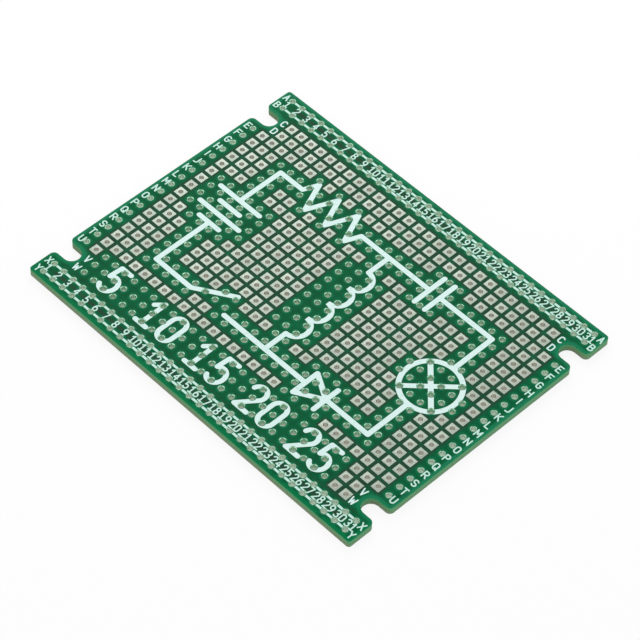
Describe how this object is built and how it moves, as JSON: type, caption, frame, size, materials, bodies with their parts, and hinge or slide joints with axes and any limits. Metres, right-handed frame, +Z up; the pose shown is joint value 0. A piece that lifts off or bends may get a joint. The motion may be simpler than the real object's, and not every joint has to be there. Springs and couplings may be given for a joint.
{
  "type": "prototype board",
  "caption": "Flat rectangular prototype board with a square grid of plated holes, green solder mask, white row and column print, and U-shaped screw slots at the corners.",
  "frame": {"origin": "middle of the underside, in the plane that the board lies on", "axes": "+X along the length, from column 1 to the last column; +Y across the rows, towards row A; +Z up through the board, out of the printed face"},
  "size_m": [0.0808, 0.0638, 0.0016],
  "materials": {
    "glass_fibre": "matte",
    "solder_mask": "gloss",
    "tinned_copper": "satin",
    "white_ink": "matte"
  },
  "bodies": {
    "root": {"laminate": "glass_fibre", "solder_mask_top": "solder_mask", "solder_mask_bottom": "solder_mask", "plated_row_a": "tinned_copper", "plated_row_b": "tinned_copper", "plated_row_c": "tinned_copper", "plated_row_d": "tinned_copper", "plated_row_e": "tinned_copper", "plated_row_f": "tinned_copper", "plated_row_g": "tinned_copper", "plated_row_h": "tinned_copper", "plated_row_i": "tinned_copper", "plated_row_j": "tinned_copper", "plated_row_k": "tinned_copper", "plated_row_l": "tinned_copper", "plated_row_m": "tinned_copper", "plated_row_n": "tinned_copper", "plated_row_o": "tinned_copper", "plated_row_p": "tinned_copper", "plated_row_q": "tinned_copper", "plated_row_r": "tinned_copper", "plated_row_s": "tinned_copper", "plated_row_t": "tinned_copper", "plated_row_u": "tinned_copper", "plated_row_v": "tinned_copper", "plated_row_w": "tinned_copper", "plated_row_x": "tinned_copper", "plated_row_y": "tinned_copper", "bus_line_a": "white_ink", "bus_line_b": "white_ink", "bus_line_x": "white_ink", "bus_line_y": "white_ink", "circuit_drawing": "white_ink"}
  },
  "joints": []
}
